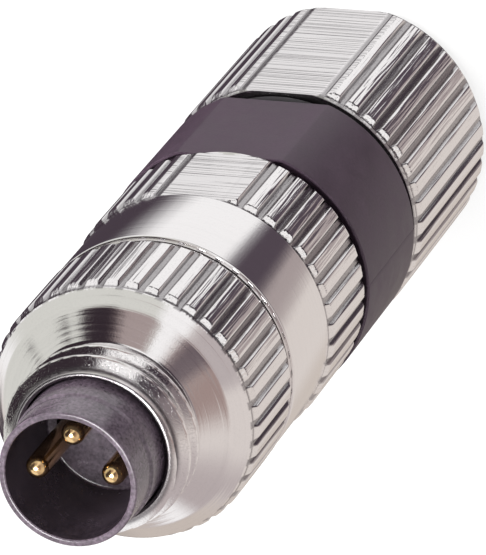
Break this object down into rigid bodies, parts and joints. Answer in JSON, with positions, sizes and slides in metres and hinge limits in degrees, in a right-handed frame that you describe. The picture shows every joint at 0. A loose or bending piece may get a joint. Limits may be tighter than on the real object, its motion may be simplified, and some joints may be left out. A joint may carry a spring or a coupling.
{
  "type": "circular sensor connector",
  "caption": "Straight male circular sensor plug with a knurled coupling screw, plated housing with spanner flats and a knurled clamp nut for a field-fitted cable.",
  "frame": {"origin": "centre of the clamp nut's back face, where the connector stands on its end", "axes": "+Z along the connector's axis to the mating face, +Y through the spanner flats on the side of contact 4, +X to contact 1"},
  "size_m": [0.0122, 0.0118, 0.0388],
  "materials": {
    "nickel_plate": "bright nickel plate over turned brass",
    "moulded_black": "moulded black nylon",
    "gilt": "thin gold plate",
    "tinned_sheet": "tinned bronze sheet",
    "spring_steel": "bright spring wire",
    "seal_rubber": "moulded rubber",
    "natural_nylon": "uncoloured moulded nylon"
  },
  "bodies": {
    "housing": {"contact_carrier": "moulded_black", "contact_pin_1": "gilt", "contact_pin_3": "gilt", "contact_pin_4": "gilt", "carrier_seal": "seal_rubber", "fork_holder": "moulded_black", "idc_fork_1": "tinned_sheet", "idc_fork_3": "tinned_sheet", "idc_fork_4": "tinned_sheet", "front_housing": "nickel_plate", "housing_seal": "seal_rubber", "snap_ring": "spring_steel", "splice_body": "moulded_black", "nut_o_ring": "seal_rubber"},
    "screw": {"coupling_screw": "nickel_plate"},
    "guide": {"wire_guide": "natural_nylon", "cable_seal": "seal_rubber", "slip_washer": "natural_nylon", "clamp_cage": "moulded_black"},
    "nut": {"clamp_nut": "nickel_plate"}
  },
  "joints": [
    {"name": "coupling_screw_turn", "type": "hinge", "parent": "housing", "child": "screw", "pos_m": [0, 0, 0.0287], "axis": [0, 0, 1], "continuous": true},
    {"name": "nut_turn", "type": "hinge", "parent": "nut", "child": "guide", "pos_m": [0, 0, 0.0075], "axis": [0, 0, 1], "range_deg": [0, 1440]},
    {"name": "nut_travel", "type": "slide", "parent": "guide", "child": "housing", "axis": [0, 0, 1], "range_m": [0, 0.003]}
  ],
  "couplings": [
    {"joint": "nut_travel", "follows": "nut_turn", "m_per_rad": 0.00011937}
  ]
}
